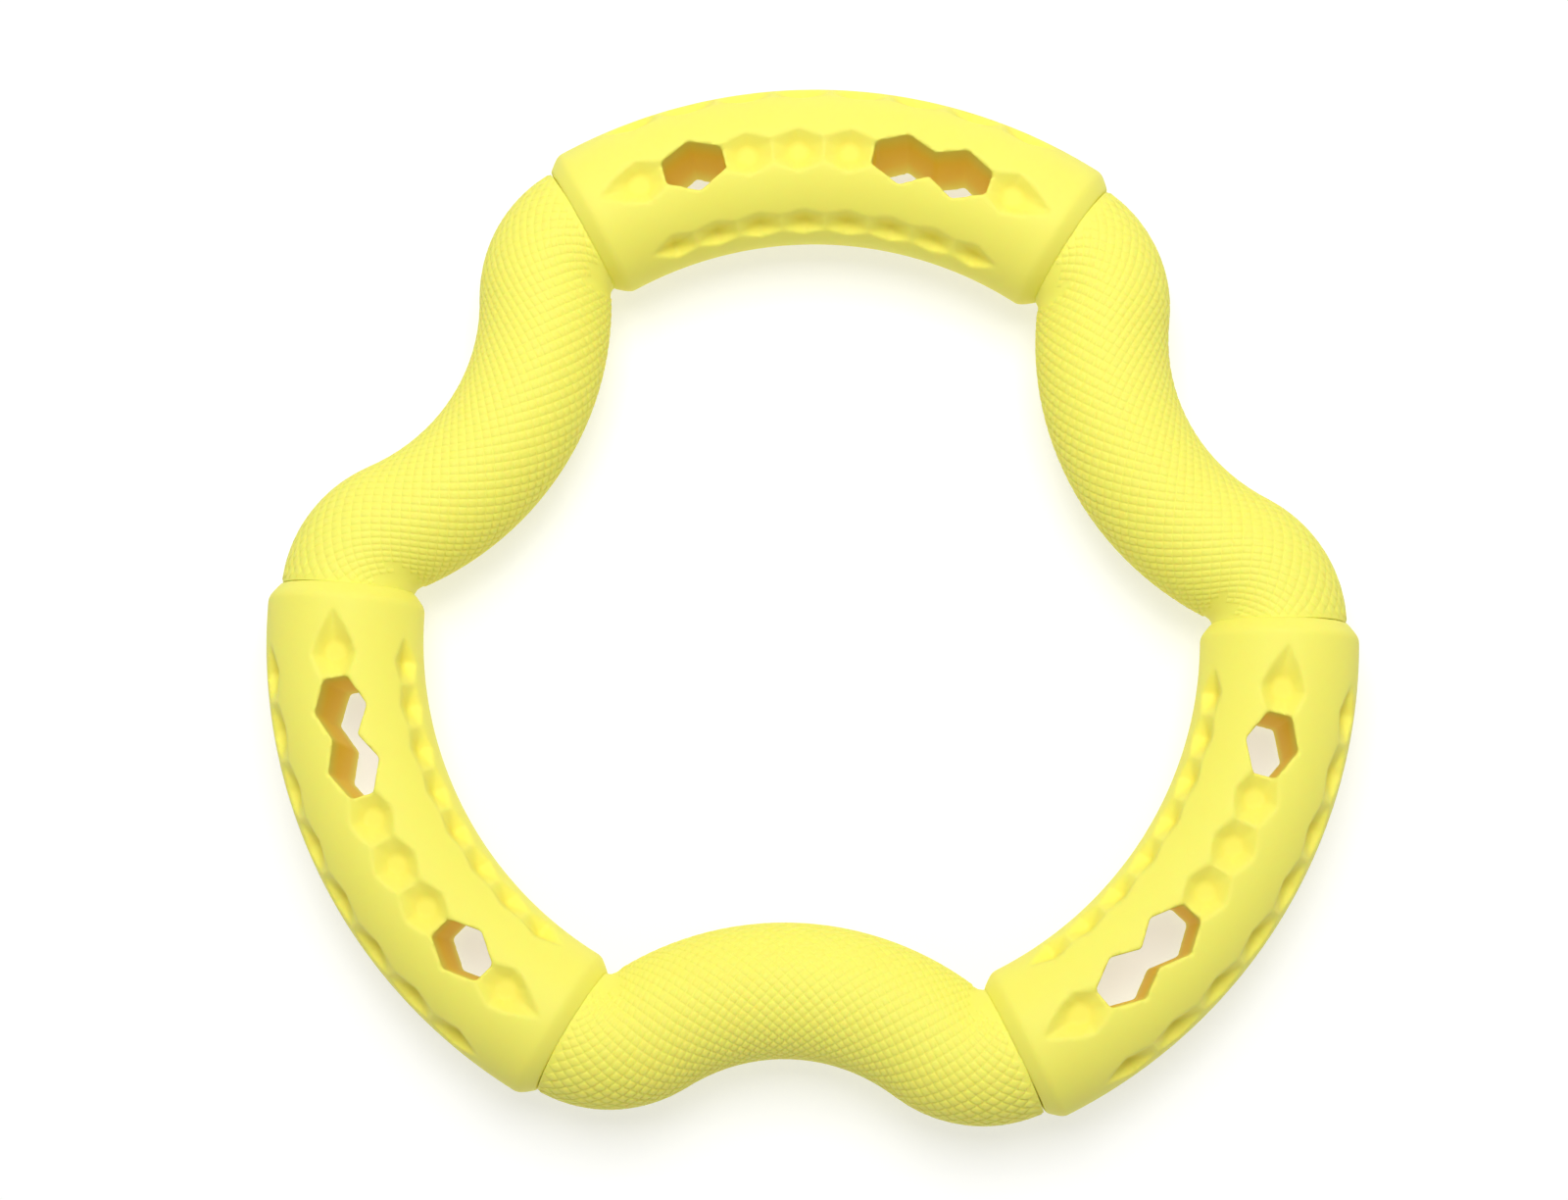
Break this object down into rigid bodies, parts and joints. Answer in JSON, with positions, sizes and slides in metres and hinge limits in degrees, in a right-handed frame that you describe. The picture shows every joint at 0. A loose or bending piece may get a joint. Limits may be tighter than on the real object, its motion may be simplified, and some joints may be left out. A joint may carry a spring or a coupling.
{
  "type": "rubber tug ring",
  "caption": "Moulded rubber tug-and-throw ring with thick smooth honeycomb grips joined by thinner pebbled links that bow inwards.",
  "frame": {"origin": "point on the axis of the ring at mid-thickness, the balance point of the part", "axes": "+Z out of the flat ring along its axis; +Y to the middle of the first grip; +X to the right of it seen from above"},
  "size_m": [0.1952, 0.1854, 0.028],
  "materials": {
    "smooth_rubber": "matt moulded thermoplastic rubber, lemon yellow",
    "pebbled_rubber": "lemon yellow thermoplastic rubber with a fine pebbled grain"
  },
  "bodies": {
    "root": {"grip_top": "smooth_rubber", "link_right": "pebbled_rubber", "grip_right": "smooth_rubber", "link_bottom": "pebbled_rubber", "grip_left": "smooth_rubber", "link_left": "pebbled_rubber"}
  },
  "joints": []
}
